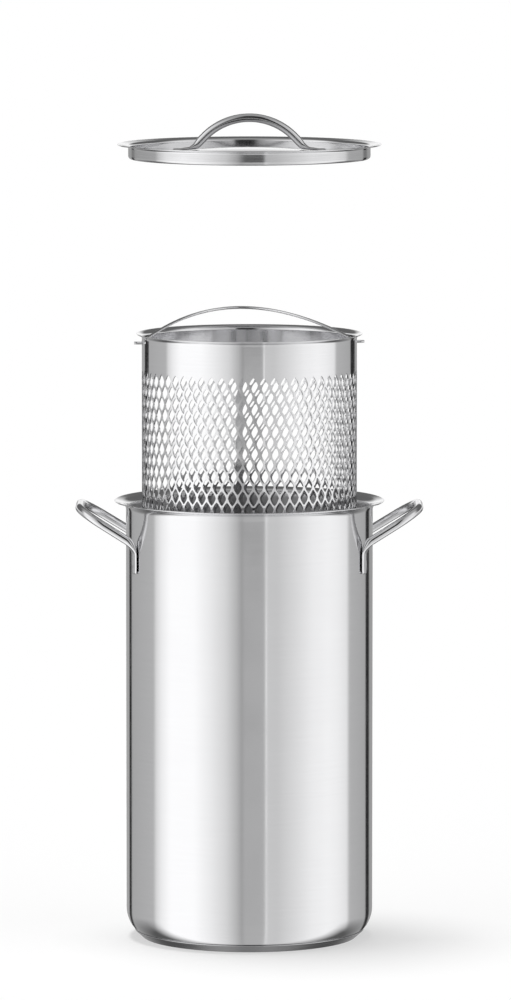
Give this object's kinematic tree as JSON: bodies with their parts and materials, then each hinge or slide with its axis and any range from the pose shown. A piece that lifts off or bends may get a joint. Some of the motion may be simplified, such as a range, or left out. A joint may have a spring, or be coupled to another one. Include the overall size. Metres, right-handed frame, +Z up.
{
  "type": "asparagus pot",
  "caption": "Tall narrow steel cooking pot with loop handles, a lift-out mesh basket with a swinging wire bail, and a dished lid with an arched handle.",
  "frame": {"origin": "centre of the underside of the base, on the surface that the pot stands on", "axes": "+Z up along the axis of the pot, +X towards the right-hand loop handle, and the picture looks along +Y"},
  "size_m": [0.2272, 0.1758, 0.5413],
  "materials": {
    "polished_steel": "polished with a faint grain around the wall",
    "lid_steel": "polished with a visible turned grain",
    "base_steel": "satin, turned grain",
    "mesh_steel": "bright sheet, cut edges",
    "rod_steel": "polished drawn rod",
    "bare_aluminium": "plain"
  },
  "bodies": {
    "pot": {"pot_body": "polished_steel", "base_core": "bare_aluminium", "base_cap": "base_steel", "left_handle": "rod_steel", "right_handle": "rod_steel"},
    "basket": {"basket_wall": "mesh_steel", "basket_floor": "mesh_steel"},
    "bail": {"bail": "rod_steel"},
    "lid": {"lid_shell": "lid_steel", "lid_handle": "rod_steel"}
  },
  "joints": [
    {"name": "basket_lift", "type": "slide", "parent": "pot", "child": "basket", "axis": [0, 0, 1], "range_m": [-0.1461, 0.15]},
    {"name": "bail_swing", "type": "hinge", "parent": "basket", "child": "bail", "pos_m": [0, 0, 0.3918], "axis": [0.9962, 0.0872, 0], "range_deg": [-6.8, 161]},
    {"name": "lid_lift", "type": "slide", "parent": "basket", "child": "lid", "axis": [0, 0, 1], "range_m": [-0.0863, 0.1]}
  ]
}
